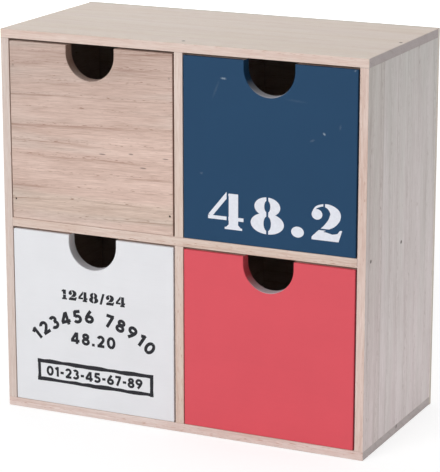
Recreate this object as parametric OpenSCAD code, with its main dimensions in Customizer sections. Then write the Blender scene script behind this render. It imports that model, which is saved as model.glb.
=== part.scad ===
// Small wooden cabinet with four pull-out drawers, two across and two up.
// The front faces -Y and +Z is up. The origin is on the ground, under the middle of the cabinet.
// The top and bottom boards run over the ends of the side boards, and the shelf runs between
// the sides. The dividers stand above and below the shelf, and a thin panel covers the back.
// Every joint is a glued butt joint, pinned with brads that are driven in flush.
// The drawers have no runners: each one slides on the board below it and pulls straight out.

/* [Cabinet] */
// Width over both side boards
cabinet_w = 260; // [200:5:320]
// Height from the ground to the top face
cabinet_h = 260; // [200:5:320]
// Depth from the front edges to the outside of the back panel
cabinet_d = 125; // [100:5:180]
// Thickness of the top, bottom and side boards
outer_t = 6; // [5:0.5:9]
// Thickness of the middle shelf
shelf_t = 6; // [5:0.5:9]
// Thickness of the two dividers
divider_t = 6; // [5:0.5:9]
// Thickness of the plywood back panel
back_panel_t = 3; // [2:0.5:5]

/* [Drawers] */
// Gap to the left of a drawer
left_gap = 0.4; // [0.2:0.1:2]
// Gap to the right of a drawer
right_gap = 1.2; // [0.2:0.1:2]
// Gap above a drawer front
top_gap = 1.5; // [0.4:0.1:3]
// Gap between a closed drawer and the back panel
rear_gap = 2; // [1:0.5:6]
// How far a closed drawer front stands behind the cabinet's front edges
front_setback = 0.3; // [0:0.1:1]
// Thickness of a drawer front
front_t = 8; // [6:0.5:12]
// Thickness of a drawer's side boards
drawer_side_t = 5; // [4:0.5:8]
// Thickness of a drawer's back board
drawer_back_t = 5; // [4:0.5:8]
// Thickness of a drawer's plywood bottom
drawer_bottom_t = 3; // [2:0.5:5]
// How much lower a drawer's side and back boards are than its front
rim_drop = 5; // [0:1:40]

/* [Finger notch] */
// Radius of the round bottom of the notch
notch_r = 17.5; // [12:0.5:22]
// How far the notch's centre lies below the top edge of the drawer front
notch_drop = 5; // [2:0.5:10]

/* [Brads] */
// Diameter of a brad's shank
brad_d = 1; // [0.8:0.1:1.2]
// Diameter of a brad's head
brad_head_d = 1.4; // [1.3:0.1:2]
// Thickness of a brad's head
brad_head_t = 0.5; // [0.3:0.1:1]
// Length of a brad over its head and point
brad_len = 16; // [14:1:20]
// Distance from a cabinet board's front or back edge to the first brad
brad_inset = 8; // [6:1:15]
// Distance from a drawer front's top edge to its upper brads
front_brad_top = 16; // [10:1:30]
// Distance from a drawer front's bottom edge to its lower brads
front_brad_bottom = 13; // [8:1:16]
// Distance from the ends of a drawer's boards to their brads
drawer_brad_inset = 24; // [21:1:30]

/* [Hidden] */

// Colours
WOOD = "tan";
SIDE_WOOD = "burlywood";
PLYWOOD = "wheat";
NAVY = "steelblue";
WHITE = "whitesmoke";
CORAL = "indianred";
STEEL = "dimgray";

// Cabinet planes
left_x = -cabinet_w / 2;
right_x = cabinet_w / 2;
front_y = -cabinet_d / 2;
back_y = cabinet_d / 2;

// The boards reach back as far as the back panel, which is laid over their rear edges
board_d = cabinet_d - back_panel_t;
inner_w = cabinet_w - 2 * outer_t;
inner_h = cabinet_h - 2 * outer_t;

// The four bays are all alike
bay_w = (inner_w - divider_t) / 2;
bay_h = (inner_h - shelf_t) / 2;
bay_x = [left_x + outer_t, divider_t / 2];
bay_z = [outer_t, outer_t + bay_h + shelf_t];

// A bay is named by its column and its row
UPPER_LEFT = [0, 1];
UPPER_RIGHT = [1, 1];
LOWER_LEFT = [0, 0];
LOWER_RIGHT = [1, 0];

// Drawer sizes follow from the bay and the gaps round the drawer
drawer_w = bay_w - left_gap - right_gap;
drawer_h = bay_h - top_gap;
drawer_d = board_d - rear_gap - front_setback;
box_d = drawer_d - front_t;
wall_h = drawer_h - rim_drop - drawer_bottom_t;

// Brad rows along the cabinet's depth, and the back panel's brads
brad_rows = [
    front_y + brad_inset,
    front_y + board_d / 2,
    front_y + board_d - brad_inset
];
back_brad_x = [left_x + outer_t + bay_w / 2, right_x - outer_t - bay_w / 2];
back_brad_z = [outer_t + bay_h / 2, cabinet_h - outer_t - bay_h / 2];

// Turns that point a brad the way it is driven
DRIVEN_DOWN = [0, 0, 0];
DRIVEN_UP = [180, 0, 0];
DRIVEN_LEFT = [0, 90, 0];
DRIVEN_RIGHT = [0, -90, 0];
DRIVEN_FORWARD = [-90, 0, 0];
DRIVEN_REARWARD = [90, 0, 0];

// A cutter runs this far past the face it cuts
cut_past = 1;
brad_point = 1.5;
brad_tip_d = 0.3;
notch_fn = 96;
brad_fn = 24;

// ---- Brads ----

// One brad, with the face of its head at the origin and its point towards -Z
module brad() {
    shank = brad_len - brad_head_t - brad_point;
    translate([0, 0, -brad_head_t])
        cylinder(d = brad_head_d, h = brad_head_t, $fn = brad_fn);
    translate([0, 0, -brad_head_t - shank])
        cylinder(d = brad_d, h = shank, $fn = brad_fn);
    translate([0, 0, -brad_len])
        cylinder(d1 = brad_tip_d, d2 = brad_d, h = brad_point, $fn = brad_fn);
}

module brad_at(place, turn) {
    color(STEEL) translate(place) rotate(turn) brad();
}

// Down through the top board, into both sides and the upper divider
module top_brads() {
    for (x = [left_x + outer_t / 2, 0, right_x - outer_t / 2])
        for (y = brad_rows)
            brad_at([x, y, cabinet_h], DRIVEN_DOWN);
}

// Up through the bottom board, into both sides and the lower divider
module bottom_brads() {
    for (x = [left_x + outer_t / 2, 0, right_x - outer_t / 2])
        for (y = brad_rows)
            brad_at([x, y, 0], DRIVEN_UP);
}

// Through both sides, into the ends of the shelf
module side_brads() {
    shelf_z = bay_z[1] - shelf_t / 2;
    for (y = brad_rows) {
        brad_at([left_x, y, shelf_z], DRIVEN_RIGHT);
        brad_at([right_x, y, shelf_z], DRIVEN_LEFT);
    }
}

// Up through the shelf, into the upper divider, before the lower divider covers their heads
module shelf_brads() {
    for (y = brad_rows)
        brad_at([0, y, bay_z[1] - shelf_t], DRIVEN_UP);
}

// Through the back panel, into the rear edges of the four outer boards
module back_brads() {
    for (z = back_brad_z) {
        brad_at([left_x + outer_t / 2, back_y, z], DRIVEN_FORWARD);
        brad_at([right_x - outer_t / 2, back_y, z], DRIVEN_FORWARD);
    }
    for (x = back_brad_x) {
        brad_at([x, back_y, outer_t / 2], DRIVEN_FORWARD);
        brad_at([x, back_y, cabinet_h - outer_t / 2], DRIVEN_FORWARD);
    }
}

// ---- Cabinet boards ----

module top_panel() {
    color(WOOD) translate([left_x, front_y, cabinet_h - outer_t])
        cube([cabinet_w, board_d, outer_t]);
}

module bottom_panel() {
    color(WOOD) translate([left_x, front_y, 0])
        cube([cabinet_w, board_d, outer_t]);
}

module left_side() {
    color(SIDE_WOOD) translate([left_x, front_y, outer_t])
        cube([outer_t, board_d, inner_h]);
}

module right_side() {
    color(SIDE_WOOD) translate([right_x - outer_t, front_y, outer_t])
        cube([outer_t, board_d, inner_h]);
}

module middle_shelf() {
    color(WOOD) translate([left_x + outer_t, front_y, bay_z[1] - shelf_t])
        cube([inner_w, board_d, shelf_t]);
}

module divider_above(z) {
    color(WOOD) translate([-divider_t / 2, front_y, z])
        cube([divider_t, board_d, bay_h]);
}

module upper_divider() {
    divider_above(bay_z[1]);
}

module lower_divider() {
    divider_above(bay_z[0]);
}

// Laid over the rear edges of all the boards
module back_panel() {
    color(PLYWOOD) translate([left_x, back_y - back_panel_t, 0])
        cube([cabinet_w, back_panel_t, cabinet_h]);
}

// ---- Drawers ----

// Moves a piece from the drawer's own front left bottom corner to its bay
module in_bay(bay) {
    translate([bay_x[bay[0]] + left_gap, front_y + front_setback, bay_z[bay[1]]])
        children();
}

// The notch for a finger: a round hole drilled just below the top edge, then sawn open to it
module finger_notch() {
    translate([drawer_w / 2, -cut_past, drawer_h - notch_drop]) {
        rotate([-90, 0, 0])
            cylinder(r = notch_r, h = front_t + 2 * cut_past, $fn = notch_fn);
        translate([-notch_r, 0, 0])
            cube([2 * notch_r, front_t + 2 * cut_past, notch_drop + cut_past]);
    }
}

module drawer_front(bay, paint) {
    color(paint) in_bay(bay) difference() {
        cube([drawer_w, front_t, drawer_h]);
        finger_notch();
    }
}

// The sides stand on the bottom, behind the front
module drawer_side(bay, x) {
    color(SIDE_WOOD) in_bay(bay) translate([x, front_t, drawer_bottom_t])
        cube([drawer_side_t, box_d, wall_h]);
}

module drawer_left_side(bay) {
    drawer_side(bay, 0);
}

module drawer_right_side(bay) {
    drawer_side(bay, drawer_w - drawer_side_t);
}

// The back stands on the bottom, between the sides
module drawer_back(bay) {
    color(WOOD) in_bay(bay)
        translate([drawer_side_t, drawer_d - drawer_back_t, drawer_bottom_t])
            cube([drawer_w - 2 * drawer_side_t, drawer_back_t, wall_h]);
}

// The bottom lies under the sides and the back, and butts against the front
module drawer_bottom(bay) {
    color(PLYWOOD) in_bay(bay) translate([0, front_t, 0])
        cube([drawer_w, box_d, drawer_bottom_t]);
}

// Four brads hold the front, four hold the back, and four hold each side to the bottom
module drawer_brads(bay) {
    side_x = [drawer_side_t / 2, drawer_w - drawer_side_t / 2];
    side_top = drawer_bottom_t + wall_h;
    in_bay(bay) {
        for (x = side_x)
            for (z = [front_brad_bottom, drawer_h - front_brad_top])
                brad_at([x, 0, z], DRIVEN_REARWARD);
        for (z = [drawer_bottom_t + drawer_brad_inset, side_top - drawer_brad_inset]) {
            brad_at([0, drawer_d - drawer_back_t / 2, z], DRIVEN_RIGHT);
            brad_at([drawer_w, drawer_d - drawer_back_t / 2, z], DRIVEN_LEFT);
        }
        for (x = side_x)
            for (y = [front_t + drawer_brad_inset, drawer_d - drawer_brad_inset])
                brad_at([x, y, 0], DRIVEN_UP);
    }
}

top_panel();
bottom_panel();
left_side();
right_side();
middle_shelf();
upper_divider();
lower_divider();
back_panel();
top_brads();
bottom_brads();
side_brads();
shelf_brads();
back_brads();

drawer_front(UPPER_LEFT, WOOD);  // upper_left_drawer_front
drawer_left_side(UPPER_LEFT);  // upper_left_drawer_left_side
drawer_right_side(UPPER_LEFT);  // upper_left_drawer_right_side
drawer_back(UPPER_LEFT);  // upper_left_drawer_back
drawer_bottom(UPPER_LEFT);  // upper_left_drawer_bottom
drawer_brads(UPPER_LEFT);  // upper_left_drawer_brads

drawer_front(UPPER_RIGHT, NAVY);  // upper_right_drawer_front
drawer_left_side(UPPER_RIGHT);  // upper_right_drawer_left_side
drawer_right_side(UPPER_RIGHT);  // upper_right_drawer_right_side
drawer_back(UPPER_RIGHT);  // upper_right_drawer_back
drawer_bottom(UPPER_RIGHT);  // upper_right_drawer_bottom
drawer_brads(UPPER_RIGHT);  // upper_right_drawer_brads

drawer_front(LOWER_LEFT, WHITE);  // lower_left_drawer_front
drawer_left_side(LOWER_LEFT);  // lower_left_drawer_left_side
drawer_right_side(LOWER_LEFT);  // lower_left_drawer_right_side
drawer_back(LOWER_LEFT);  // lower_left_drawer_back
drawer_bottom(LOWER_LEFT);  // lower_left_drawer_bottom
drawer_brads(LOWER_LEFT);  // lower_left_drawer_brads

drawer_front(LOWER_RIGHT, CORAL);  // lower_right_drawer_front
drawer_left_side(LOWER_RIGHT);  // lower_right_drawer_left_side
drawer_right_side(LOWER_RIGHT);  // lower_right_drawer_right_side
drawer_back(LOWER_RIGHT);  // lower_right_drawer_back
drawer_bottom(LOWER_RIGHT);  // lower_right_drawer_bottom
drawer_brads(LOWER_RIGHT);  // lower_right_drawer_brads
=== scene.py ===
import math
import random

import bmesh
import bpy
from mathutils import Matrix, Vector
from mathutils.geometry import delaunay_2d_cdt


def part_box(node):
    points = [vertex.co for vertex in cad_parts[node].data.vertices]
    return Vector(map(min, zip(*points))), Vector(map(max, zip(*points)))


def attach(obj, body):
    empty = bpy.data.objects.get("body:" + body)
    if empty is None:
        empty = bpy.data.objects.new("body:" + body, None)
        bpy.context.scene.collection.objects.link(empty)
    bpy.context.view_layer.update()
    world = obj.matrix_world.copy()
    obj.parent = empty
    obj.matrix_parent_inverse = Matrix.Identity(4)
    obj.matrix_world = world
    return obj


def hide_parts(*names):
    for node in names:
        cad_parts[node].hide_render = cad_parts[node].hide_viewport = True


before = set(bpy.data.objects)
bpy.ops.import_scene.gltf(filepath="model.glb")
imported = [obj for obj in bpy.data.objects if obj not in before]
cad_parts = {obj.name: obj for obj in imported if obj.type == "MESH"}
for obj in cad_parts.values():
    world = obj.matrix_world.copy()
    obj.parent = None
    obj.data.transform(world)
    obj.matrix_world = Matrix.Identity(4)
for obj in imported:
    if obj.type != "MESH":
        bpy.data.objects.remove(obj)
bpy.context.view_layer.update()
scene = bpy.context.scene
MM = 0.001

# ---- Camera, floor and studio light ----
# The cabinet stands on a pale sweep of paper, seen from its right and from a little above.
# Soft boxes light the front from the left, the top, the right side and, weakly, the back.

# The camera's place in metres, its turns in degrees and its lens in millimetres
CAMERA_PLACE = (0.6286, -1.3303, 0.5070)
CAMERA_DOWN = 14.774
CAMERA_TURN = 25.296
CAMERA_LENS = 172.83

# The paper's colour, its share of the light, its own glow, and how far off it is plain white
PAPER = "#F4F4F2"
PAPER_SHARE = 0.35
PAPER_GLOW = 0.76
PAPER_WHITE_FROM = 0.45
PAPER_WHITE_AT = 1.4
FLOOR_SIZE = 8.0
FLOOR_GAP = 0.1 * MM
ROOM_LIGHT = 0.20

# Each soft box: where it stands, its size across in metres, and its power in watts
SOFT_BOXES = {
    "front_box": ((-1.4, -4.4, 1.88), 2.2, 152.0),
    "top_box": ((-0.2, 0.5, 2.1), 1.5, 14.8),
    "right_box": ((2.1, 0.5, 0.25), 1.2, 25.5),
    "rear_box": ((-1.5, 2.2, 0.7), 1.2, 12.0),
}
AIM = Vector((0, 0, 0.12))


def linear(hex_colour):
    """The linear colour that a shader takes, from an sRGB hex colour."""
    parts = [int(hex_colour[i:i + 2], 16) / 255 for i in (1, 3, 5)]
    return [c / 12.92 if c <= 0.04045 else ((c + 0.055) / 1.055) ** 2.4 for c in parts] + [1.0]


def add(tree, kind, *inputs, **settings):
    """Adds a node. A shader node goes by its short name. Its inputs come in order, or in one
    dictionary by name or number. Each is a value, a socket, or a node, for its first output."""
    node = tree.nodes.new(kind if "Node" in kind else f"ShaderNode{kind}")
    for name, value in settings.items():
        setattr(node, name, value)
    keyed = inputs[0] if inputs and isinstance(inputs[0], dict) else dict(enumerate(inputs))
    for key, value in keyed.items():
        if isinstance(value, bpy.types.Node):
            value = value.outputs[0]
        if isinstance(value, bpy.types.NodeSocket):
            tree.links.new(value, node.inputs[key])
        else:
            node.inputs[key].default_value = value
    return node


def blank_material(name):
    """A new material, and its node tree with nothing in it yet."""
    material = bpy.data.materials.new(name)
    material.use_nodes = True
    material.node_tree.nodes.clear()
    return material, material.node_tree


def slab(x0, z0, x1, z1):
    """The outline of a rectangle, from its lower left corner round to its upper left one."""
    return [(x0, z0), (x1, z0), (x1, z1), (x0, z1)]


def put_in_scene(name, data):
    """A new object that shows the data, linked into the scene."""
    thing = bpy.data.objects.new(name, data)
    scene.collection.objects.link(thing)
    return thing


def seen_straight(tree):
    """1 where the camera, a mirror or glass looks, and 0 where light is gathered."""
    path = add(tree, "LightPath")
    seen = add(tree, "Math", path.outputs["Is Camera Ray"], path.outputs["Is Glossy Ray"],
               operation="MAXIMUM")
    return add(tree, "Math", seen, path.outputs["Is Transmission Ray"], operation="MAXIMUM")


camera_data = bpy.data.cameras.new("camera")
camera_data.lens = CAMERA_LENS
camera = put_in_scene("camera", camera_data)
camera.location = CAMERA_PLACE
camera.rotation_euler = (math.radians(90 - CAMERA_DOWN), 0, math.radians(CAMERA_TURN))
scene.camera = camera
scene.view_settings.view_transform = "Standard"

for name, (place, size, power) in SOFT_BOXES.items():
    light = bpy.data.lights.new(name, "AREA")
    light.size = size
    light.energy = power
    box = put_in_scene(name, light)
    box.location = place
    box.rotation_euler = (AIM - Vector(place)).to_track_quat("-Z", "Y").to_euler()

# The room is evenly white, and what looks straight at it sees pure white
world = bpy.data.worlds.new("white_room")
scene.world = world
world.use_nodes = True
tree = world.node_tree
tree.nodes.clear()
strength = add(tree, "MapRange", seen_straight(tree), 0.0, 1.0, ROOM_LIGHT, 1.0)
room = add(tree, "Background", {"Color": (1, 1, 1, 1), "Strength": strength})
add(tree, "OutputWorld", {"Surface": room})

# Paper: the part that glows takes it to white, and the part that is lit keeps the shadow
paper, tree = blank_material("studio_paper")
plain = add(tree, "BsdfDiffuse", {"Color": linear(PAPER)})
lit = add(tree, "BsdfDiffuse", {"Color": [PAPER_SHARE] * 3 + [1.0]})
away = add(tree, "TexCoord").outputs["Object"]
away = add(tree, "VectorMath", away, operation="LENGTH").outputs["Value"]
away = add(tree, "MapRange", away, PAPER_WHITE_FROM, PAPER_WHITE_AT, PAPER_GLOW, 1.0)
glow = add(tree, "Emission", {"Color": (1, 1, 1, 1), "Strength": away})
both = add(tree, "AddShader", lit, glow)
shown = add(tree, "MixShader", seen_straight(tree), plain, both)
add(tree, "OutputMaterial", {"Surface": shown})

half = FLOOR_SIZE / 2
floor_mesh = bpy.data.meshes.new("floor")
floor_mesh.from_pydata([(x, y, -FLOOR_GAP) for x, y in slab(-half, -half, half, half)],
                       [], [(0, 1, 2, 3)])
floor_mesh.materials.append(paper)
put_in_scene("floor", floor_mesh)

# ---- Brads ----
# Headed steel wire brads, 16 mm long, that pin every glued joint. The heads are punched just
# under the surface. The ones that would show most are filled over before sanding.

BRAD_SIDES = 20
BRAD_SIZES = {"Head radius": 0.7 * MM, "Shank radius": 0.5 * MM, "Dome length": 0.12 * MM,
              "Head length": 0.38 * MM, "Shank length": 14.0 * MM, "Point length": 1.2 * MM,
              "Lean": math.radians(4)}
OPEN_DEPTH = 0.6 * MM
FILLED_DEPTH = 0.9 * MM
HOLE_RADIUS = 0.85 * MM
HOLE_DEPTH = 0.9 * MM
UP, DOWN = Vector((0, 0, 1)), Vector((0, 0, -1))
LEFT, RIGHT = Vector((-1, 0, 0)), Vector((1, 0, 0))
FRONT, REAR = Vector((0, -1, 0)), Vector((0, 1, 0))

# A brad is a stack of turned lengths, from its dome to its point. Each row gives the length's
# name, its upper and lower radius as shares, and whether they are shares of the head or shank
BRAD_TURNINGS = (("Dome", 0.62, 1.0, "Head"), ("Head", 1.0, 0.86, "Head"),
                 ("Shank", 1.0, 1.0, "Shank"), ("Point", 1.0, 0.25, "Shank"))

tree = brad_tree = bpy.data.node_groups.new("brads", "GeometryNodeTree")
tree.interface.new_socket("Heads", in_out="INPUT", socket_type="NodeSocketGeometry")
for size_name in BRAD_SIZES:
    tree.interface.new_socket(size_name, in_out="INPUT", socket_type="NodeSocketFloat")
tree.interface.new_socket("Steel", in_out="INPUT", socket_type="NodeSocketMaterial")
tree.interface.new_socket("Brads", in_out="OUTPUT", socket_type="NodeSocketGeometry")
given = add(tree, "NodeGroupInput").outputs
one_brad = add(tree, "GeometryNodeJoinGeometry")
depth = 0.0
for part_name, upper, lower, of in BRAD_TURNINGS:
    radius, length = given[f"{of} radius"], given[f"{part_name} length"]
    top = add(tree, "Math", radius, upper, operation="MULTIPLY")
    bottom = add(tree, "Math", radius, lower, operation="MULTIPLY")
    turned = add(tree, "GeometryNodeMeshCone",
                 {"Radius Top": top, "Radius Bottom": bottom, "Depth": length,
                  "Vertices": BRAD_SIDES})
    depth = add(tree, "Math", depth, length, operation="SUBTRACT")
    drop = add(tree, "CombineXYZ", {"Z": depth})
    turned = add(tree, "GeometryNodeTransform", {"Geometry": turned, "Translation": drop})
    tree.links.new(turned.outputs[0], one_brad.inputs[0])
facing = add(tree, "GeometryNodeInputNamedAttribute", {"Name": "out"}, data_type="FLOAT_VECTOR")
upright = add(tree, "FunctionNodeAlignRotationToVector", {"Vector": facing}, axis="Z")
lean = given["Lean"]
less = add(tree, "Math", lean, -1.0, operation="MULTIPLY")
lowest = add(tree, "CombineXYZ", {"X": less, "Y": less})
highest = add(tree, "CombineXYZ", {"X": lean, "Y": lean, "Z": math.pi})
leaning = add(tree, "FunctionNodeRandomValue", {"Min": lowest, "Max": highest, "Seed": 11},
              data_type="FLOAT_VECTOR")
driven = add(tree, "FunctionNodeRotateRotation", {"Rotation": upright, "Rotate By": leaning},
             rotation_space="LOCAL")
placed = add(tree, "GeometryNodeInstanceOnPoints",
             {"Points": given["Heads"], "Instance": one_brad, "Rotation": driven})
real = add(tree, "GeometryNodeRealizeInstances", {"Geometry": placed})
steel_set = add(tree, "GeometryNodeSetMaterial", {"Geometry": real, "Material": given["Steel"]})
add(tree, "NodeGroupOutput", {"Brads": steel_set})


def clouds(tree, place, scale, detail, *spread, **more):
    """Noise at the place, with its values spread from one range to another where that is given."""
    noise = add(tree, "TexNoise", {"Vector": place, "Scale": scale, "Detail": detail, **more})
    return add(tree, "MapRange", noise, *spread) if spread else noise


# Wire that has dulled in its hole: dark grey metal with brown bloom in patches 1 mm across
steel, tree = blank_material("dulled_steel_wire")
place = add(tree, "TexCoord").outputs["Object"]
bloom = clouds(tree, place, 1 / MM, 3.0, 0.4, 0.65)
colour = add(tree, "Mix", {0: bloom, 6: linear("#3C3836"), 7: linear("#2C221E")}, data_type="RGBA")
rough = add(tree, "MapRange", bloom, 0.0, 1.0, 0.5, 0.75)
metal = add(tree, "BsdfPrincipled",
            {"Base Color": colour.outputs[2], "Roughness": rough, "Metallic": 1.0})
add(tree, "OutputMaterial", {"Surface": metal})


def settle(piece):
    """Makes the piece's modifiers part of its mesh."""
    depsgraph = bpy.context.evaluated_depsgraph_get()
    mesh = bpy.data.meshes.new_from_object(piece.evaluated_get(depsgraph),
                                           preserve_all_data_layers=True, depsgraph=depsgraph)
    piece.modifiers.clear()
    piece.data = mesh
    return piece


def flatten_faces(piece):
    """Smooths the eased edges and the notch, and keeps every flat face flat."""
    piece.data.shade_smooth()
    piece.data.set_sharp_from_angle(angle=math.radians(50))
    piece.modifiers.new("flat_faces", "WEIGHTED_NORMAL").keep_sharp = True
    return settle(piece)


def dress(piece, material, body, slot, *nodes):
    """Gives a finished piece its material, its body and the CAD nodes that it stands for."""
    piece.data.materials.clear()
    piece.data.materials.append(material)
    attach(piece, body)
    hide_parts(*nodes)


def drive_brads(node, body, heads, boards):
    """Drives a group of brads. Each head has its place on the surface, the way that it faces,
    and whether it is left open. An open one gets its hole in the boards."""
    mesh = bpy.data.meshes.new(node)
    mesh.from_pydata([place - (OPEN_DEPTH if left_open else FILLED_DEPTH) * out
                      for place, out, left_open in heads], [], [])
    faces_way = mesh.attributes.new("out", "FLOAT_VECTOR", "POINT")
    for item, (place, out, left_open) in zip(faces_way.data, heads):
        item.vector = out
    brads = put_in_scene(f"{node}_driven", mesh)
    modifier = brads.modifiers.new("brads", "NODES")
    modifier.node_group = brad_tree
    inputs = {**BRAD_SIZES, "Steel": steel}
    for item in brad_tree.interface.items_tree:
        if item.name in inputs:
            modifier[item.identifier] = inputs[item.name]
    dress(settle(brads), steel, body, "brad_steel", node)

    open_heads = [(place, out) for place, out, left_open in heads if left_open]
    if not open_heads:
        return
    punch = bmesh.new()
    for place, out in open_heads:
        turn = out.to_track_quat("Z", "Y").to_matrix().to_4x4()
        turn.translation = place
        bmesh.ops.create_cone(punch, cap_ends=True, segments=BRAD_SIDES, matrix=turn,
                              radius1=HOLE_RADIUS, radius2=HOLE_RADIUS, depth=2 * HOLE_DEPTH)
    mesh = bpy.data.meshes.new("punch")
    punch.to_mesh(mesh)
    punch.free()
    cutter = put_in_scene("punch", mesh)
    for board in boards:
        holes = board.modifiers.new("brad_holes", "BOOLEAN")
        holes.operation = "DIFFERENCE"
        holes.solver = "EXACT"
        holes.object = cutter
        flatten_faces(settle(board))
    bpy.data.objects.remove(cutter)


# ---- Cabinet boards ----
# Six-millimetre paulownia boards, planed, cut square and butted together with glue and brads.
# The outer corners are eased with sandpaper, and the joints are sanded flush.

CORNER_EASE = 0.6 * MM
OPENING_EASE = 0.3 * MM
JOINT_EASE = 0.12 * MM
EASE_STEPS = 3
NEAR = 0.01 * MM
GLUE_LINE = 0.25 * MM

# How far apart in the wood, in millimetres, the boards' patterns and the glued-on strip's are cut
BOARD_STEP = 317.0
STRIP_STEP = (523, 41, 67)

END_GRAIN = ("#ACA3A2", "#7F7574")
STRAW = ("#FDFCF8", 0.35, 0.65)
# The colour of dark flecks. Round the open brads it is steel stain and the painted shade inside
# their holes
STAIN_AND_SHADE = "#453A35"
# Size of the mark round each open brad, which paints the shade in its hole
HOLE_SHADE_SIZE = 2.3

# How each grain direction turns onto the pattern's own X axis
GRAIN_TURN = {"x": (0, 0, 0), "y": (0, 0, -90), "z": (0, 90, 0)}

# The marks along the grain: length and width in millimetres, detail, and place in the noise
STREAKS = {"sway": (240, 28, 2, 3.1), "ripple": (45, 7, 2, 9.4), "fading": (80, 5, 3, 21.7),
           "standing": (160, 14, 1, 88.6), "band": (90, 12, 2, 5.3), "coarse": (60, 1.6, 3, 14.2),
           "middling": (22, 0.75, 2, 71.9), "fine": (7, 0.32, 2, 33.8), "pore": (5, 0.45, 1, 47.1),
           "hue": (140, 15, 2, 61.3)}


def off_plane(tree, along, at):
    """How far a place is from the plane that lies at this value along an axis."""
    off = add(tree, "Math", along, at, operation="SUBTRACT")
    return add(tree, "Math", off, operation="ABSOLUTE")


def facing_axes(tree):
    """How squarely the surface faces along each axis, whichever way it looks."""
    facing = add(tree, "TexCoord").outputs["Normal"]
    facing = add(tree, "VectorMath", facing, operation="ABSOLUTE")
    return add(tree, "SeparateXYZ", facing).outputs


def tinted(tree, colour, share, tint):
    """The colour, multiplied by the tint where the share is 1."""
    tint = add(tree, "Mix", {0: share, 6: (1, 1, 1, 1), 7: linear(tint)}, data_type="RGBA")
    return add(tree, "Mix", {0: 1.0, 6: colour, 7: tint.outputs[2]}, data_type="RGBA",
               blend_type="MULTIPLY").outputs[2]


def smudged(tree, colour, place, centre, size, slope, core, strength, mark_colour):
    """The colour with an oval mark laid over it. size is half its length each way, slope its
    turn in degrees, and core the share of the size within which the mark is full."""
    near = add(tree, "Mapping",
               {"Vector": place, "Location": centre, "Rotation": (0, math.radians(-slope), 0),
                "Scale": size}, vector_type="TEXTURE")
    near = add(tree, "VectorMath", near, operation="LENGTH").outputs["Value"]
    near = add(tree, "MapRange", near, core, 1.3, strength, 0.0)
    return add(tree, "Mix", {0: near, 6: colour, 7: linear(mark_colour)}, data_type="RGBA").outputs[2]


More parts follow.
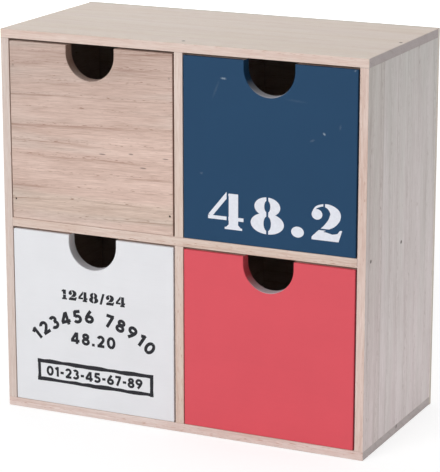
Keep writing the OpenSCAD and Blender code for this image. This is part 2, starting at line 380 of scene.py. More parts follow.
def paulownia_grain(tree, grain, early, late, seed, ring=6.0, tilt=0.0, pith=(60, -190), mark=1.0,
                    pores=0.9, uneven=0.0, edge=None, end=END_GRAIN, drift=STRAW, tints=(),
                    strip=None, flecks=()):
    """Colour and height of planed paulownia. ring is the ring spacing and pith the rings' centre
    across the board, in millimetres. tilt turns the grain in degrees, mark is how strongly it
    shows, pores how dark its pores are, and uneven how far single rings stand out or fade. edge
    and end are the early and late wood of the edges that face forwards and of the end grain.
    drift is a tint that comes and goes, and where in the noise it starts and is full. tints are
    each a tint, an axis, its middle along it, and how far from there it is still full and is
    gone. strip is a narrow board glued on at the front: where it ends, its tint and how much
    stronger its marks are. flecks are dark marks: centre, length and width in millimetres, and
    strength."""
    turn = [math.radians(a) for a in GRAIN_TURN[grain]]
    turn[1] += math.radians(tilt)
    real_place = add(tree, "TexCoord").outputs["Object"]
    apart = add(tree, "SeparateXYZ", real_place).outputs
    place = add(tree, "Mapping",
                {"Vector": real_place, "Rotation": turn, "Scale": [1 / MM] * 3,
                 "Location": (seed * BOARD_STEP, 0, 0)})
    if strip:
        strip_end, strip_tint, stronger = strip
        in_strip = add(tree, "MapRange", apart["Y"], strip_end - GLUE_LINE, strip_end + GLUE_LINE,
                       1.0, 0.0)
        aside = add(tree, "VectorMath", {0: STRIP_STEP, "Scale": in_strip}, operation="SCALE")
        place = add(tree, "VectorMath", place, aside, operation="ADD")

    def streaks(name, *spread):
        """Noise drawn out along the grain, and its values spread from one range to another."""
        along, across, detail, shift = STREAKS[name]
        spot = add(tree, "VectorMath", place, (1 / along, 1 / across, 1 / across),
                   (shift, shift, seed), operation="MULTIPLY_ADD")
        return clouds(tree, spot, 1.0, detail, *spread, Roughness=0.55)

    # Distance from the pith, which wanders along the board, gives the rings
    off_pith = add(tree, "VectorMath", place, (0, 1, 1), (0, -pith[0], -pith[1]),
                   operation="MULTIPLY_ADD")
    radius = add(tree, "VectorMath", off_pith, operation="LENGTH").outputs["Value"]
    for source, share in (("sway", 1.5), ("ripple", 0.16)):
        radius = add(tree, "Math", streaks(source), share * ring, radius, operation="MULTIPLY_ADD")
    year = add(tree, "Math", radius, 1 / ring, operation="MULTIPLY")
    part = add(tree, "Math", year, operation="FRACT")
    late_wood = add(tree, "Math", part, 9.0, operation="POWER")
    soft = add(tree, "MapRange", part, 0.95, 1.0, 1.0, 0.0)
    late_wood = add(tree, "Math", late_wood, soft, operation="MULTIPLY")
    fade = streaks("fading", 0.35, 0.65, 0.1, 1.0)
    late_wood = add(tree, "Math", late_wood, fade, operation="MULTIPLY")
    if uneven:
        standing = streaks("standing", 0.42, 0.58, 1.0 - uneven, 1.0 + 0.7 * uneven)
        late_wood = add(tree, "Math", late_wood, standing, operation="MULTIPLY")

    # Broad bands, fibres that show from arm's length, and fibres that show close by
    band = streaks("band", 0.3, 0.7)
    coarse = streaks("coarse", 0.3, 0.7)
    middling = streaks("middling", 0.35, 0.7)
    fine = streaks("fine", 0.25, 0.75)

    # Pores: short dark strokes, crowded just outside the late wood of the year before
    crowd = add(tree, "MapRange", part, 0.0, 0.3, 0.13, 0.0)
    pore = add(tree, "Math", streaks("pore"), crowd, operation="ADD")
    pore = add(tree, "MapRange", pore, 0.7, 0.82)

    dark = add(tree, "Math", late_wood, 0.6 * mark, operation="MULTIPLY")
    for amount, source in ((0.20 * mark, band), (0.15 * mark, coarse), (0.22 * mark, middling),
                           (0.28, fine), (pores * mark, pore)):
        dark = add(tree, "Math", source, amount, dark, operation="MULTIPLY_ADD")
    if strip:
        more = add(tree, "Math", in_strip, stronger, 1.0, operation="MULTIPLY_ADD")
        dark = add(tree, "Math", dark, more, operation="MULTIPLY")
        glue = add(tree, "MapRange", off_plane(tree, apart["Y"], strip_end), GLUE_LINE,
                   3 * GLUE_LINE, 0.3, 0.0)
        dark = add(tree, "Math", dark, glue, operation="ADD")
    dark = add(tree, "Math", dark, 1.5, operation="MINIMUM")
    colour = add(tree, "Mix", {0: dark, 6: linear(early), 7: linear(late)}, data_type="RGBA",
                 clamp_factor=False).outputs[2]

    # Slow drifts of hue along the board, from rosy to straw
    tint, start, full = drift
    colour = tinted(tree, colour, streaks("hue", start, full), tint)
    for tint, axis, middle, full, gone in tints:
        off = off_plane(tree, apart[axis], middle)
        share = add(tree, "MapRange", off, full, gone, 1.0, 0.0)
        colour = tinted(tree, colour, share, tint)
    if strip:
        colour = tinted(tree, colour, in_strip, strip_tint)

    # End grain drinks the light, so it is darker and greyer than the faces
    for axis, pair in (("Y", edge), (grain.upper(), end)):
        if pair:
            share = add(tree, "MapRange", facing_axes(tree)[axis], 0.6, 0.95)
            other = add(tree, "Mix", {0: dark, 6: linear(pair[0]), 7: linear(pair[1])},
                        data_type="RGBA", clamp_factor=False).outputs[2]
            colour = add(tree, "Mix", {0: share, 6: colour, 7: other}, data_type="RGBA").outputs[2]
    for centre, length, width, strength in flecks:
        size = [width * MM / 2] * 3
        size["xyz".index(grain)] = length * MM / 2
        colour = smudged(tree, colour, real_place, [value * MM for value in centre], size, 0, 0.7,
                         strength, STAIN_AND_SHADE)
    height = add(tree, "Math", fine, 0.5, dark, operation="MULTIPLY_ADD")
    return colour, height


def matt_surface(tree, colour, rough, height, strength, depth, shine, ior=1.5, raised=False):
    """Ends a material as a matt surface. strength and depth, in millimetres, are those of its
    relief, shine is how much it reflects, and raised says that the height stands up."""
    bump = add(tree, "Bump", {"Height": height, "Strength": strength, "Distance": depth * MM},
               invert=not raised)
    face = add(tree, "BsdfPrincipled",
               {"Base Color": colour, "Roughness": rough, "Normal": bump, "IOR": ior,
                "Specular IOR Level": shine})
    add(tree, "OutputMaterial", {"Surface": face})


def paulownia(name, *pattern, **options):
    """Bare paulownia, sanded and left unfinished: matt, with a faint tooth along the fibres."""
    wood, tree = blank_material(name)
    colour, height = paulownia_grain(tree, *pattern, **options)
    rough = add(tree, "MapRange", height, 0.0, 1.2, 0.62, 0.74)
    matt_surface(tree, colour, rough, height, 0.35, 0.06, 0.3, ior=1.45)
    return wood


def cut_piece(name, outline, front, back):
    """A piece with this outline as its front (X and Z), from front to back in depth (Y)."""
    count = len(outline)
    corners = [(x, front, z) for x, z in outline] + [(x, back, z) for x, z in outline]
    faces = [list(range(count)), list(range(2 * count - 1, count - 1, -1))]
    for i in range(count):
        j = (i + 1) % count
        faces.append([i, i + count, j + count, j])
    mesh = bpy.data.meshes.new(name)
    mesh.from_pydata(corners, [], faces)
    return put_in_scene(name, mesh)


def ease_edges(piece, width_of):
    """Rounds each edge by the width that width_of gives for its ends and the piece's box."""
    mesh = piece.data
    points = [vertex.co for vertex in mesh.vertices]
    low = Vector([min(point[axis] for point in points) for axis in range(3)])
    high = Vector([max(point[axis] for point in points) for axis in range(3)])
    widths = [width_of(points[edge.vertices[0]], points[edge.vertices[1]], low, high)
              for edge in mesh.edges]
    widest = max(widths)
    weight = mesh.attributes.new("bevel_weight_edge", "FLOAT", "EDGE")
    for item, width in zip(weight.data, widths):
        item.value = width / widest
    bevel = piece.modifiers.new("eased_edges", "BEVEL")
    bevel.limit_method = "WEIGHT"
    bevel.width = widest
    bevel.segments = EASE_STEPS
    return flatten_faces(settle(piece))


def cut_board(node, kind, width_of):
    """A board or a ply panel that fills its node's box, with its edges eased."""
    low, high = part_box(node)
    outline = slab(low.x, low.z, high.x, high.z)
    return ease_edges(cut_piece(f"{node}_{kind}", outline, low.y, high.y), width_of)


# Grain direction, early and late wood colours, pattern number and pattern of each board
WOOD = ("#E9DBD3", "#B58B77")
BOARD_WOODS = {
    # The top's face wood is painted greyer than the boards' own colour, a painted shade
    "top_panel": ("x", "#E0D6CE", "#C4AA9C", 1, {"ring": 9.0, "pith": (-150, 60), "mark": 0.5,
                                                 "edge": ("#E9DAD2", "#B5836C")}),
    "bottom_panel": ("x", *WOOD, 2, {"ring": 8.0, "pith": (120, 150), "mark": 0.7,
                                     "edge": ("#EEE1DD", "#B98F7D"),
                                     # The bottom's end grain is painted lighter than the top's,
                                     # making up for the floor's shade on it
                                     "end": ("#C1B7B6", "#8E8382"),
                                     "flecks": (((130, -3.5, 4.8), 3.0, 2.6, 0.6),)}),
    "left_side": ("z", *WOOD, 3, {"ring": 15.0, "pith": (180, 60), "mark": 0.6,
                                  "edge": ("#E2D7D1", "#B38D7C")}),
    # Painted light on the right side: its wood and its drift are greyer and cooler than the other
    # boards, standing in for cool shade
    "right_side": ("z", "#E6DCDD", "#AB9A98", 4, {"ring": 16.0, "pith": (-210, -70), "mark": 0.8,
                                                  # Its front edge is painted lighter, standing in
                                                  # for more light there
                                                  "edge": ("#EDDDD6", "#B88F7C"),
                                                  "drift": ("#FAFDFB", 0.35, 0.65),
                                                  # This tint darkens the side towards its top, a
                                                  # painted shade
                                                  "tints": (("#E3E9E6", "Z", 0.26, 0.0, 0.22),),
                                                  "strip": (-0.0365, "#FDFBFA", 0.15)}),
    "middle_shelf": ("x", *WOOD, 5, {"ring": 7.5, "pith": (90, -60), "mark": 0.8}),
    "upper_divider": ("z", *WOOD, 6, {"ring": 6.5, "pith": (140, 40), "mark": 0.6}),
    "lower_divider": ("z", *WOOD, 7, {"ring": 6.5, "pith": (-140, 50), "mark": 0.6}),
}
cabinet_low, cabinet_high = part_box("bottom_panel")[0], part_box("top_panel")[1]
OUTER_PLANES = ((0, cabinet_low.x), (0, cabinet_high.x), (1, cabinet_low.y),
                (2, cabinet_low.z), (2, cabinet_high.z))


def cabinet_ease(start, end, low, high):
    """Outer corners are eased most, then the edges round the openings, and joints hardly."""
    planes = [axis for axis, at in OUTER_PLANES
              if abs(start[axis] - at) < NEAR and abs(end[axis] - at) < NEAR]
    if len(planes) > 1:
        return CORNER_EASE
    return OPENING_EASE if 1 in planes else JOINT_EASE


boards = {node: cut_board(node, "board", cabinet_ease) for node in BOARD_WOODS}

# Three brads in each row, near the front, halfway back and near the rear
BRAD_INSET = 8 * MM
low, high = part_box("top_panel")
board_t = high.z - low.z
row_y = (low.y + BRAD_INSET, (low.y + high.y) / 2, high.y - BRAD_INSET)
row_x = (low.x + board_t / 2, 0.0, high.x - board_t / 2)
shelf_low, shelf_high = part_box("middle_shelf")
shelf_z = (shelf_low.z + shelf_high.z) / 2

# The places left open on the top, counted from the left and from the front
OPEN_ON_TOP = ((1, 0), (2, 1))
top_heads = [(Vector((x, y, cabinet_high.z)), UP, (column, row) in OPEN_ON_TOP)
             for column, x in enumerate(row_x) for row, y in enumerate(row_y)]
bottom_heads = [(Vector((x, y, cabinet_low.z)), DOWN, True) for x in row_x for y in row_y]
side_heads = [(Vector((x, y, shelf_z)), out, row < 2)
              for x, out in ((cabinet_low.x, LEFT), (cabinet_high.x, RIGHT))
              for row, y in enumerate(row_y)]
shelf_heads = [(Vector((0.0, y, shelf_low.z)), DOWN, False) for y in row_y]
drive_brads("top_brads", "cabinet", top_heads, [boards["top_panel"]])
drive_brads("bottom_brads", "cabinet", bottom_heads, [boards["bottom_panel"]])
drive_brads("side_brads", "cabinet", side_heads, [boards["left_side"], boards["right_side"]])
drive_brads("shelf_brads", "cabinet", shelf_heads, [])

# The steel has stained the wood round each brad that was left open, and the dark mark there also
# paints the shade inside its hole
OPEN_HEADS = {"top_panel": top_heads, "left_side": side_heads, "right_side": side_heads}
for node, (*pattern, options) in BOARD_WOODS.items():
    stains_and_shade = [(place / MM, HOLE_SHADE_SIZE, HOLE_SHADE_SIZE, 1.0)
              for place, out, left_open in OPEN_HEADS.get(node, ()) if left_open]
    options = {**options, "flecks": (*options.get("flecks", ()), *stains_and_shade)}
    wood = paulownia(f"sanded_paulownia_{node}", *pattern, **options)
    dress(boards[node], wood, "cabinet", "bare_wood", node)

# ---- Back panel ----
# Three-ply panel, 3 mm thick, laid over the rear edges of all the boards and pinned to them.
# Its faces are rotary-cut veneer, and its edges show the three plies.

PLY_EASE = 0.15 * MM
PLY_FACE = "#E3D5C6"
PLY_FIGURE = "#D6C4B1"
PLY_CORE = "#BDB0A6"
# A grey tint for the sawn edges, whose blue cast is painted cool shade
PLY_EDGE = "#F2F9FF"

# Thickness of a face veneer in millimetres
PLY_VENEER = 0.8

# Rotary-cut veneer has long soft flames and short fibres. Their sizes in millimetres, on a panel
# that stands, whose thickness is along Y, and on one that lies, whose thickness is along Z
PLY_MARKS = {1: ((9, 9, 120), (0.5, 0.5, 14)), 2: ((120, 9, 9), (14, 0.5, 0.5))}


def from_corner(tree, corner):
    """The place on a piece, in millimetres from its lowest corner."""
    place = add(tree, "TexCoord").outputs["Object"]
    return add(tree, "Mapping",
               {"Vector": place, "Scale": [1 / MM] * 3, "Location": [-at / MM for at in corner]})


def plywood(name, low, high, through, seed):
    """Three-ply of pale veneer. through is the axis of its thickness, 1 for Y or 2 for Z."""
    ply, tree = blank_material(name)
    place = from_corner(tree, low)
    flame, fibre = ([1 / size for size in mark] for mark in PLY_MARKS[through])
    spot = add(tree, "VectorMath", place, flame, [seed] * 3, operation="MULTIPLY_ADD")
    figure = clouds(tree, spot, 1.0, 3.0, 0.25, 0.75, Distortion=0.3)
    spot = add(tree, "VectorMath", place, fibre, operation="MULTIPLY")
    fine = clouds(tree, spot, 1.0, 2.0, 0.3, 0.7)
    shade = add(tree, "Math", fine, 0.6, figure, operation="MULTIPLY_ADD")
    face = add(tree, "Mix", {0: shade, 6: linear(PLY_FACE), 7: linear(PLY_FIGURE)},
               data_type="RGBA").outputs[2]
    # The core lies crosswise between the two veneers. The sawn edges are greyer than the faces, and
    # their blue cast is painted cool shade
    apart = add(tree, "SeparateXYZ", place).outputs
    middle = (high[through] - low[through]) / MM / 2
    core = add(tree, "MapRange", off_plane(tree, apart[through], middle),
               middle - PLY_VENEER - 0.1, middle - PLY_VENEER, 1.0, 0.0)
    colour = add(tree, "Mix", {0: core, 6: face, 7: linear(PLY_CORE)}, data_type="RGBA").outputs[2]
    sawn = add(tree, "MapRange", facing_axes(tree)[through], 0.1, 0.5, 1.0, 0.0)
    colour = tinted(tree, colour, sawn, PLY_EDGE)
    matt_surface(tree, colour, 0.66, shade, 0.3, 0.05, 0.3)
    return ply


def ply_ease(start, end, low, high):
    """Sawn and lightly rubbed down all round."""
    return PLY_EASE


low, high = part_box("back_panel")
back = cut_board("back_panel", "ply", ply_ease)
bay_middle = (row_x[0] + row_x[1]) / 2
bay_height = (shelf_z - cabinet_low.z - board_t / 2) / 2
back_places = [(x, z) for x in (row_x[0], row_x[2])
               for z in (shelf_z - bay_height, shelf_z + bay_height)]
back_places += [(x, z) for x in (bay_middle, -bay_middle)
                for z in (cabinet_low.z + board_t / 2, cabinet_high.z - board_t / 2)]
back_heads = [(Vector((x, high.y, z)), REAR, True) for x, z in back_places]
drive_brads("back_brads", "cabinet", back_heads, [back])
dress(back, plywood("three_ply_back", low, high, 1, 3.0), "cabinet", "plywood", "back_panel")

# ---- Drawer fronts ----
# Eight-millimetre paulownia with a finger notch: a round hole drilled near the top edge and
# sawn open to it. One front is left bare, and three are painted on the face.

FRONT_EASE = 0.6 * MM
REAR_EASE = 0.3 * MM
NOTCH_RADIUS = 17.5 * MM
NOTCH_DROP = 5 * MM
NOTCH_STEPS = 60

# How far the brads are from the front's lower and upper edges
FRONT_BRAD_BOTTOM = 13 * MM
FRONT_BRAD_TOP = 16 * MM
DRAWERS = ("upper_left", "upper_right", "lower_left", "lower_right")

# The bare front: its notch, its rosy drifts, its flecks, and the parts that are darker or straw
BARE_NOTCH = ("#B8988A", "#86685A")
ROSY = ("#FFF8F6", 0.35, 0.5)
BARE_TINTS = (("#ECECEC", "Z", 0.2525, 0.0125, 0.0625), ("#FAFFFD", "Z", 0.1455, 0.0045, 0.0085),
              ("#F5F5F5", "X", -0.1235, 0.008, 0.113))
BARE_FLECKS = (((-55.4, -62.2, 182.5), 4.5, 0.9, 0.6), ((-34.4, -62.2, 184.5), 3.2, 0.9, 0.6),
               ((-9.4, -62.2, 183.6), 4.0, 0.8, 0.55), ((-25.7, -62.2, 176.1), 4.5, 0.9, 0.6))
# Two of its four brads are filled over, and the filler shows faintly
FILLER = 0.3
FILLER_SIZE = 1.5

PAINTS = {"upper_right": ("navy_paint", "#204363"), "lower_left": ("white_paint", "#E6E7EB"),
          "lower_right": ("coral_paint", "#DC5762")}
# Pale grey of the notch floor: thin paint over the undercoat, with a painted sheen
UNDERCOAT_AND_SHEEN = "#E2E2E8"
SCUFF = "#B4C2CF"

# How far the paint laps over the outer edges and into the notch, and how far that wavers, in mm
EDGE_LAP = 0.7
NOTCH_LAP = 12.0
LAP_WAVER = 1.6

# Scuffs in the navy paint: place from the front's lower left corner, length, width, slope in
# degrees and strength
SCUFFS = ((28.3, 106.8, 3.8, 1.2, -3, 0.5), (97.3, 77.3, 2.0, 1.2, -30, 0.55),
          (89.3, 72.3, 3.6, 1.3, 20, 0.10), (108.0, 82.3, 3.2, 1.4, 80, 0.08),
          (22.9, 99.2, 12.0, 1.5, 68, 0.05), (117.4, 118.7, 1.2, 1.2, 0, 0.25),
          (78.4, 96.5, 14.0, 1.4, -4, 0.035), (12.8, 44.1, 2.0, 1.4, 10, 0.12))


def notched_outline(low, high):
    """A drawer front's outline, from its lower left corner round to its upper left one."""
    middle = (low.x + high.x) / 2
    centre = high.z - NOTCH_DROP
    notch = [(middle + NOTCH_RADIUS * math.cos(math.pi * i / NOTCH_STEPS),
              centre - NOTCH_RADIUS * math.sin(math.pi * i / NOTCH_STEPS))
             for i in range(NOTCH_STEPS + 1)]
    return [(low.x, low.z), (high.x, low.z), (high.x, high.z), (middle + NOTCH_RADIUS, high.z),
            *notch, (middle - NOTCH_RADIUS, high.z), (low.x, high.z)]


def painted_front(name, hex_colour, low, high, seed, scuffs):
    """Paint rolled on a bare front. It covers the notch, and on the notch's floor it turns pale,
    partly thin paint over the undercoat and partly a painted sheen. It laps a little over the other
    edges."""
    paint, tree = blank_material(name)
    wood, height = paulownia_grain(tree, "x", *WOOD, seed, tilt=-2.0)
    place = from_corner(tree, low)
    apart = add(tree, "SeparateXYZ", place).outputs
    facing = add(tree, "SeparateXYZ", add(tree, "TexCoord").outputs["Normal"]).outputs

    # The notch's own surface: near the middle, below the top edge, and not facing the rear
    middle, top = (high.x - low.x) / 2 / MM, (high.z - low.z) / MM
    notch = add(tree, "Math", off_plane(tree, apart["X"], middle), NOTCH_RADIUS / MM + 0.5,
                operation="LESS_THAN")
    below = add(tree, "Math", apart["Z"], top - 0.1, operation="LESS_THAN")
    notch = add(tree, "Math", notch, below, operation="MULTIPLY")
    inside = add(tree, "MapRange", facing["Y"], 0.3, 0.6, 1.0, 0.0)
    notch = add(tree, "Math", notch, inside, operation="MULTIPLY")
    waver = clouds(tree, place, 0.35, 3.0)
    lap = add(tree, "MapRange", notch, 0.0, 1.0, EDGE_LAP, NOTCH_LAP)
    lap = add(tree, "Math", waver, LAP_WAVER, lap, operation="MULTIPLY_ADD")
    bare = add(tree, "Math", apart["Y"], lap, operation="SUBTRACT")
    bare = add(tree, "MapRange", bare, 0.0, 1.2)

    # The roller leaves clouds about 30 mm across, and the grain shows faintly through the coat
    cloud = clouds(tree, place, 0.03, 3.0, 0.3, 0.7, 0.985, 1.025)
    cloud = add(tree, "Math", height, -0.02, cloud, operation="MULTIPLY_ADD")
    coat = add(tree, "VectorMath", {0: linear(hex_colour)[:3], "Scale": cloud}, operation="SCALE")
    # The upward-facing notch floor turns pale grey, partly undercoat showing and partly a painted
    # sheen
    floor_part = add(tree, "MapRange", facing["Z"], 0.45, 0.95, 0.0, 0.8)
    floor_part = add(tree, "Math", floor_part, notch, operation="MULTIPLY")
    coat = add(tree, "Mix", {0: floor_part, 6: coat, 7: linear(UNDERCOAT_AND_SHEEN)},
               data_type="RGBA").outputs[2]
    ragged = clouds(tree, place, 1.4, 2.0).outputs["Color"]
    ragged = add(tree, "VectorMath", ragged, (0.5, 0.5, 0.5), operation="SUBTRACT")
    ragged = add(tree, "VectorMath", ragged, (1.8, 0, 1.8), place, operation="MULTIPLY_ADD")
    for x, z, length, width, slope, strength in scuffs:
        coat = smudged(tree, coat, ragged, (x, 0, z), (length / 2, 1000, width / 2), slope, 0.4,
                       strength, SCUFF)

    colour = add(tree, "Mix", {0: bare, 6: coat, 7: wood}, data_type="RGBA").outputs[2]
    rough = add(tree, "MapRange", bare, 0.0, 1.0, 0.55, 0.68)
    depth_of_grain = add(tree, "MapRange", bare, 0.0, 1.0, 0.15, 0.35)
    matt_surface(tree, colour, rough, height, depth_of_grain, 0.06, 0.15, ior=1.48)
    return paint


def front_ease(start, end, low, high):
    """The edges of the face and the outer corners are eased more than the rest."""
    if max(start.y, end.y) < low.y + NEAR:
        return FRONT_EASE
    if min(start.y, end.y) > high.y - NEAR:
        return REAR_EASE
    middle = (low.x + high.x) / 2
    if abs(abs(start.x - middle) - (high.x - low.x) / 2) < NEAR:
        return FRONT_EASE
    at_notch_corner = start.z > high.z - NEAR
    return REAR_EASE if at_notch_corner else 0.0


fronts = {}
finishes = {}
for seed, drawer in enumerate(DRAWERS, 20):
    node = f"{drawer}_drawer_front"
    low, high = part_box(node)
    fronts[drawer] = cut_piece(f"{node}_board", notched_outline(low, high), low.y, high.y)
    ease_edges(fronts[drawer], front_ease)
    if drawer in PAINTS:
        slot, hue = PAINTS[drawer]
        finish = painted_front(f"matt_{slot}_on_paulownia", hue, low, high, seed,
                               SCUFFS if drawer == "upper_right" else ())
    else:
        wall_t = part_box(f"{drawer}_drawer_left_side")[1].x - low.x
        fillers = [((x / MM, low.y / MM, (high.z - FRONT_BRAD_TOP) / MM), FILLER_SIZE, FILLER_SIZE,
                    FILLER) for x in (low.x + wall_t / 2, high.x - wall_t / 2)]
        finish = paulownia("sanded_paulownia_front", "x", "#F4E1D7", "#A48576", seed, ring=9.5,
                           tilt=2.0, mark=1.05, pores=0.65, uneven=0.7, end=BARE_NOTCH,
                           drift=ROSY, tints=BARE_TINTS, flecks=(*BARE_FLECKS, *fillers))
        slot = "bare_wood"
    finishes[drawer] = (finish, slot)

# ---- Drawer boxes ----
# Five-millimetre paulownia sides and back, standing on a three-ply bottom and butted behind
# the front. They are left bare, inside and out.

RIM_EASE = 0.5 * MM
BOX_EASE = 0.2 * MM
BOX_WOOD = ("#E5DBD6", "#AD9488")
BOX_BRAD_INSET = 24 * MM

# Grain direction of each board, and its pattern number in the first drawer
BOX_BOARDS = {"left_side": ("y", 39), "right_side": ("y", 40), "back": ("x", 34)}


def box_ease(start, end, low, high):
    """The rim is rubbed rounder than the other edges."""
    return RIM_EASE if min(start.z, end.z) > high.z - NEAR else BOX_EASE


for number, drawer in enumerate(DRAWERS):
    body = f"{drawer}_drawer"
    walls = {part: cut_board(f"{body}_{part}", "board", box_ease) for part in BOX_BOARDS}
    bottom = cut_board(f"{body}_bottom", "ply", ply_ease)

    low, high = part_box(f"{body}_bottom")
    wall_low, wall_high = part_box(f"{body}_left_side")
    wall_t = wall_high.x - wall_low.x
    wall_x = (low.x + wall_t / 2, high.x - wall_t / 2)
    brad_z = (wall_low.z + BOX_BRAD_INSET, wall_high.z - BOX_BRAD_INSET)
    brad_y = (low.y + BOX_BRAD_INSET, high.y - BOX_BRAD_INSET)
    front_low, front_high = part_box(f"{body}_front")
    heads = [(Vector((x, high.y - wall_t / 2, z)), out, True)
             for x, out in ((low.x, LEFT), (high.x, RIGHT)) for z in brad_z]
    heads += [(Vector((x, y, low.z)), DOWN, True) for x in wall_x for y in brad_y]
    front_heads = [(Vector((x, front_low.y, z)), FRONT, left_open and drawer == "upper_left")
                   for x in wall_x
                   for z, left_open in ((front_low.z + FRONT_BRAD_BOTTOM, True),
                                        (front_high.z - FRONT_BRAD_TOP, False))]
    front = fronts[drawer]
    drive_brads(f"{body}_brads", body, heads + front_heads,
                [walls["left_side"], walls["right_side"], bottom, front])
    for part, (grain, pattern) in BOX_BOARDS.items():
        node = f"{body}_{part}"
        wood = paulownia(f"planed_paulownia_{node}", grain, *BOX_WOOD, pattern + 3 * number,
                         ring=8.0, pith=(150, -120), mark=0.7)
        dress(walls[part], wood, body, "bare_wood", node)
    finish, slot = finishes[drawer]
    dress(front, finish, body, slot, f"{body}_front")
    dress(bottom, plywood(f"three_ply_{body}", low, high, 2, 5.0 + number), body, "plywood",
          f"{body}_bottom")

# ---- Printed numbers ----
# Plain numbers screen printed on two painted fronts: large white stencil figures on the navy
# one, and black figures in straight rows, an arc and a ruled frame on the white one.

INK_T = 0.05 * MM
ARC_STEP = 9


def arc(cx, cz, rx, rz, start, end):
    """Points along part of an ellipse, from one angle to another in degrees."""
    count = max(2, round(abs(end - start) / ARC_STEP))
    angles = [math.radians(start + (end - start) * i / count) for i in range(count + 1)]
    return [(cx + rx * math.cos(a), cz + rz * math.sin(a)) for a in angles]


def ellipse(cx, cz, rx, rz):
    """The outline of a filled oval."""
    return arc(cx, cz, rx, rz, 0, 360)[:-1]


def oval(cx, cz, rx, rz):
    """An oval drawn with the pen, in two strokes."""
    return [arc(cx, cz, rx, rz, 90, 270), arc(cx, cz, rx, rz, -90, 90)]


def sidestep(before, after, reach):
    """A step of this length to the right of the way from one point to another."""
    dx, dz = after[0] - before[0], after[1] - before[1]
    share = reach / math.hypot(dx, dz)
    return dz * share, -dx * share


def stroke(points, widths):
    """The outline of a pen stroke through the points. widths is one width, or one a point."""
    if not isinstance(widths, (list, tuple)):
        widths = [widths] * len(points)
    left, right = [], []
    for i, (x, z) in enumerate(points):
        before, after = points[max(i - 1, 0)], points[min(i + 1, len(points) - 1)]
        dx, dz = sidestep(before, after, widths[i] / 2)
        left.append((x - dx, z - dz))
        right.append((x + dx, z + dz))
    return right + left[::-1]


def swell(points, steps=5):
    """A smooth pen stroke that swells: each point has its place and the width there."""
    points = [Vector(point) for point in points]
    path = []
    for i in range(len(points) - 1):
        a, b, c, d = (points[min(max(j, 0), len(points) - 1)] for j in range(i - 1, i + 3))
        for t in (k / steps for k in range(steps)):
            path.append(0.5 * (2 * b + (c - a) * t + (2 * a - 5 * b + 4 * c - d) * t ** 2
                               + (3 * b - a - 3 * c + d) * t ** 3))
    path.append(points[-1])
    return stroke([(x, z) for x, z, width in path], [width for x, z, width in path])


def swollen(outline, by):
    """The outline, grown outwards all round."""
    points = []
    for i, (x, z) in enumerate(outline):
        dx, dz = sidestep(outline[i - 1], outline[(i + 1) % len(outline)], by)
        points.append((x + dx, z + dz))
    return points


# Block figures, drawn with a pen a quarter of their height wide: each has its width and strokes
PEN = 0.25
SPREAD = 1.15
BLOCK_PATHS = {
    "0": (0.68, oval(0.34, 0.5, 0.24, 0.4)),
    "1": (0.42, [[(0.30, 0), (0.30, 1)], [(0.34, 0.93), (0.06, 0.76)]]),
    "2": (0.64, [arc(0.31, 0.67, 0.21, 0.23, 165, -30) + [(0.36, 0.36), (0.12, 0.08)],
                 [(0.04, 0.1), (0.6, 0.1)]]),
    "3": (0.62, [arc(0.27, 0.72, 0.19, 0.18, 150, -90), arc(0.27, 0.32, 0.23, 0.22, 90, -150)]),
    "4": (0.72, [[(0.44, 0.94), (0.08, 0.3)], [(0.0, 0.27), (0.7, 0.27)], [(0.49, 0), (0.49, 1)]]),
    "5": (0.64, [[(0.14, 0.9), (0.56, 0.9)], [(0.17, 0.95), (0.14, 0.5)],
                 arc(0.29, 0.33, 0.24, 0.23, 130, -150)]),
    "6": (0.66, [*oval(0.33, 0.31, 0.23, 0.21),
                 [(0.45, 0.96), (0.26, 0.7), (0.14, 0.48), (0.1, 0.3)]]),
    "7": (0.6, [[(0.03, 0.9), (0.58, 0.9)], [(0.5, 0.9), (0.2, 0.0)]]),
    "8": (0.64, [*oval(0.32, 0.74, 0.18, 0.16), *oval(0.32, 0.3, 0.22, 0.2)]),
    "9": (0.66, [*oval(0.33, 0.69, 0.23, 0.21),
                 [(0.21, 0.04), (0.4, 0.3), (0.52, 0.52), (0.56, 0.7)]]),
    ".": (0.24, [[(0.12, 0.0), (0.12, 0.23)]]),
    "-": (0.4, [[(0.04, 0.45), (0.36, 0.45)]]),
    " ": (0.4, []),
}
BLOCK = {mark: (width * SPREAD, [stroke([(x * SPREAD, z) for x, z in path], PEN) for path in paths],
                []) for mark, (width, paths) in BLOCK_PATHS.items()}

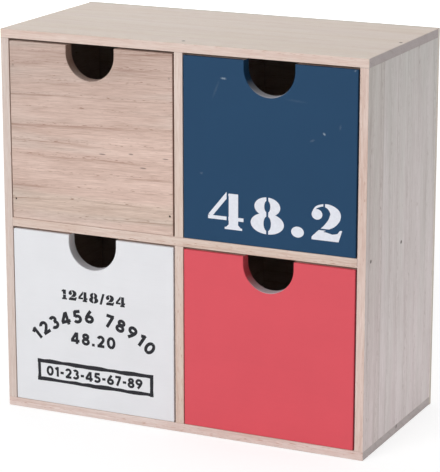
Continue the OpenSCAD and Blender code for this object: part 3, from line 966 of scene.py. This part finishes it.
# Stencil figures, thick and thin: width, ink, and the bridges that hold a stencil's middles
STENCIL = {
    "1": (0.6, [slab(0.18, 0.0, 0.44, 1.0), slab(0.02, 0.0, 0.6, 0.06),
                [(0.06, 0.06), (0.56, 0.06), (0.44, 0.14), (0.18, 0.14)],
                [(0.2, 1.0), (0.0, 0.86), (0.0, 0.8), (0.2, 0.84)]],
          [slab(-0.1, 0.47, 0.7, 0.52)]),
    "2": (0.9, [ellipse(0.17, 0.7, 0.155, 0.145),
                swell([(0.06, 0.78, 0.04), (0.16, 0.9, 0.06), (0.36, 0.965, 0.07),
                       (0.56, 0.91, 0.17), (0.7, 0.74, 0.31), (0.62, 0.53, 0.27),
                       (0.4, 0.34, 0.14), (0.18, 0.18, 0.08), (0.08, 0.06, 0.07)]),
                [(0.02, 0.0), (0.8, 0.0), (0.9, 0.32), (0.84, 0.32), (0.76, 0.22), (0.62, 0.19),
                 (0.44, 0.23), (0.24, 0.24), (0.08, 0.14), (0.02, 0.07)]],
          [slab(0.35, 0.8, 0.4, 1.2), stroke([(0.03, 0.3), (0.78, 0.3)], 0.045)]),
    "4": (1.06, [slab(0.62, 0.0, 0.9, 1.0), slab(0.5, 0.0, 1.02, 0.06),
                 [(0.54, 0.06), (0.98, 0.06), (0.9, 0.14), (0.62, 0.14)],
                 stroke([(0.6, 1.0), (0.06, 0.34)], 0.12), slab(0.0, 0.25, 1.06, 0.35)],
          [slab(0.555, 0.5, 0.61, 1.2), slab(0.555, 0.15, 0.61, 0.45)]),
    "8": (1.0, [ellipse(0.5, 0.745, 0.38, 0.265), ellipse(0.5, 0.28, 0.49, 0.295)],
          [ellipse(0.5, 0.755, 0.09, 0.165), ellipse(0.5, 0.28, 0.11, 0.205),
           slab(0.47, -0.2, 0.53, 1.2)]),
    ".": (0.37, [ellipse(0.185, 0.15, 0.185, 0.15)], []),
    "/": (0.5, [[(0.0, -0.08), (0.16, -0.08), (0.5, 1.08), (0.34, 1.08)]], []),
}

# The small stencil row is cut bolder, because ink fills fine lines at that size
BOLDER = 0.05
SMALL_STENCIL = {mark: (width, [swollen(outline, BOLDER) for outline in ink], bridges)
                 for mark, (width, ink, bridges) in STENCIL.items()}


def set_row(figures, text, height, gap, middle, base, dial=None):
    """Ink and bridge outlines of a row of figures, in metres. middle is the X of its centre
    and base the Z of its foot. On a dial, the foot follows a circle of that radius instead."""
    width = sum(figures[mark][0] for mark in text) * height + gap * (len(text) - 1)
    at = -width / 2
    inks, bridges = [], []
    for mark in text:
        wide, ink, gaps = figures[mark]
        turn = (at + wide * height / 2) / dial if dial else 0.0
        for target, outlines in ((inks, ink), (bridges, gaps)):
            for outline in outlines:
                points = [((x - wide / 2) * height, z * height) for x, z in outline]
                if dial:
                    points = [((dial + z) * math.sin(turn) + x * math.cos(turn),
                               (dial + z) * math.cos(turn) - x * math.sin(turn) - dial)
                              for x, z in points]
                else:
                    points = [(x + at + wide * height / 2, z) for x, z in points]
                target.append([(middle + x, base + z) for x, z in points])
        at += wide * height + gap
    return inks, bridges


def print_figures(name, rows, face_y, ink_material, body):
    """One thin layer of ink on a front: the rows' inks joined up, less their bridges."""
    inks = [outline for ink, bridges in rows for outline in ink]
    outlines = inks + [outline for ink, bridges in rows for outline in bridges]
    points, faces = [], []
    for outline in outlines:
        area = sum(x0 * z1 - x1 * z0
                   for (x0, z0), (x1, z1) in zip(outline, outline[1:] + outline[:1]))
        start = len(points)
        points += [Vector(point) / MM for point in (outline if area > 0 else outline[::-1])]
        faces.append(list(range(start, len(points))))
    points, _, faces, _, _, sources = delaunay_2d_cdt(points, [], faces, 1, 1e-5)
    layer = bmesh.new()
    corners = [layer.verts.new((x * MM, face_y - INK_T, z * MM)) for x, z in points]
    for face, source in zip(faces, sources):
        if source and max(source) < len(inks):
            layer.faces.new([corners[i] for i in face])
    bmesh.ops.delete(layer, geom=[v for v in layer.verts if not v.link_faces], context="VERTS")
    made = bmesh.ops.extrude_face_region(layer, geom=layer.faces[:], use_keep_orig=True)
    back_corners = [v for v in made["geom"] if isinstance(v, bmesh.types.BMVert)]
    bmesh.ops.translate(layer, verts=back_corners, vec=(0, INK_T, 0))
    bmesh.ops.recalc_face_normals(layer, faces=layer.faces[:])
    mesh = bpy.data.meshes.new(name)
    layer.to_mesh(mesh)
    layer.free()
    mesh.materials.append(ink_material)
    figures = put_in_scene(name, mesh)
    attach(figures, body)


def screen_ink(name, hex_colour):
    """Screen printing ink: dead matt, a little uneven where the mesh let less of it through."""
    ink, tree = blank_material(name)
    place = add(tree, "TexCoord").outputs["Object"]
    cover = clouds(tree, place, 0.6 / MM, 4.0, 0.35, 0.65, 0.96, 1.02)
    coat = add(tree, "VectorMath", {0: linear(hex_colour)[:3], "Scale": cover}, operation="SCALE")
    matt_surface(tree, coat, 0.7, cover, 0.3, 0.02, 0.2, raised=True)
    return ink


# The rows on their fronts, in millimetres: height of the figures, gap between them, and the row's
# middle and foot, from the front's left and lower edges
BIG_ROW = (23.5, 4.8, 63.8, 9.2)
STENCIL_ROW = (6.4, 1.5, 59.9, 74.8)
DIAL_ROW = (8.9, 1.8, 59.6, 60.2)
DIAL_RADIUS = 59.5 * MM
MIDDLE_ROW = (8.1, 1.6, 59.3, 44.4)
FRAME_ROW = (6.8, 0.85, 59.7, 19.3)
FRAME_BOX = (17.8 * MM, 16.4 * MM, 102.9 * MM, 29.1 * MM)
FRAME_LINE = 2.6 * MM
FRAME_STEP = 5 * MM
FRAME_WOBBLE = 0.6 * MM


def on_front(low, height, gap, middle, base):
    """The row's measures in metres, on the drawer front whose lower left corner is low."""
    return height * MM, gap * MM, low.x + middle * MM, low.z + base * MM


def worn_rule(start, end, shake):
    """A ruled line that joins two corners. Its width and course waver, as a stamp's do."""
    lap = (end - start).normalized() * FRAME_LINE / 2
    start, end = start - lap, end + lap
    count = round((end - start).length / FRAME_STEP)
    points, widths = [], []
    for i in range(count + 1):
        off = shake.uniform(-0.4, 0.4) * FRAME_WOBBLE if 0 < i < count else 0.0
        points.append(start.lerp(end, i / count) + Vector(sidestep(start, end, off)))
        widths.append(FRAME_LINE + shake.uniform(-1, 1) * FRAME_WOBBLE)
    return stroke(points, widths)


low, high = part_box("upper_right_drawer_front")
big = set_row(STENCIL, "48.2", *on_front(low, *BIG_ROW))
print_figures("navy_front_numbers", [big], low.y, screen_ink("white_screen_ink", "#E4E7F0"),
              "upper_right_drawer")

low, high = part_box("lower_left_drawer_front")
shake = random.Random(7)
corners = [Vector((low.x + x, low.z + z)) for x, z in slab(*FRAME_BOX)]
rules = [worn_rule(a, b, shake) for a, b in zip(corners, corners[1:] + corners[:1])]
rows = [set_row(SMALL_STENCIL, "1248/24", *on_front(low, *STENCIL_ROW)),
        set_row(BLOCK, "123456 78910", *on_front(low, *DIAL_ROW), dial=DIAL_RADIUS),
        set_row(BLOCK, "48.20", *on_front(low, *MIDDLE_ROW)),
        set_row(BLOCK, "01-23-45-67-89", *on_front(low, *FRAME_ROW)),
        (rules, [])]
print_figures("white_front_numbers", rows, low.y, screen_ink("black_screen_ink", "#26262B"),
              "lower_left_drawer")
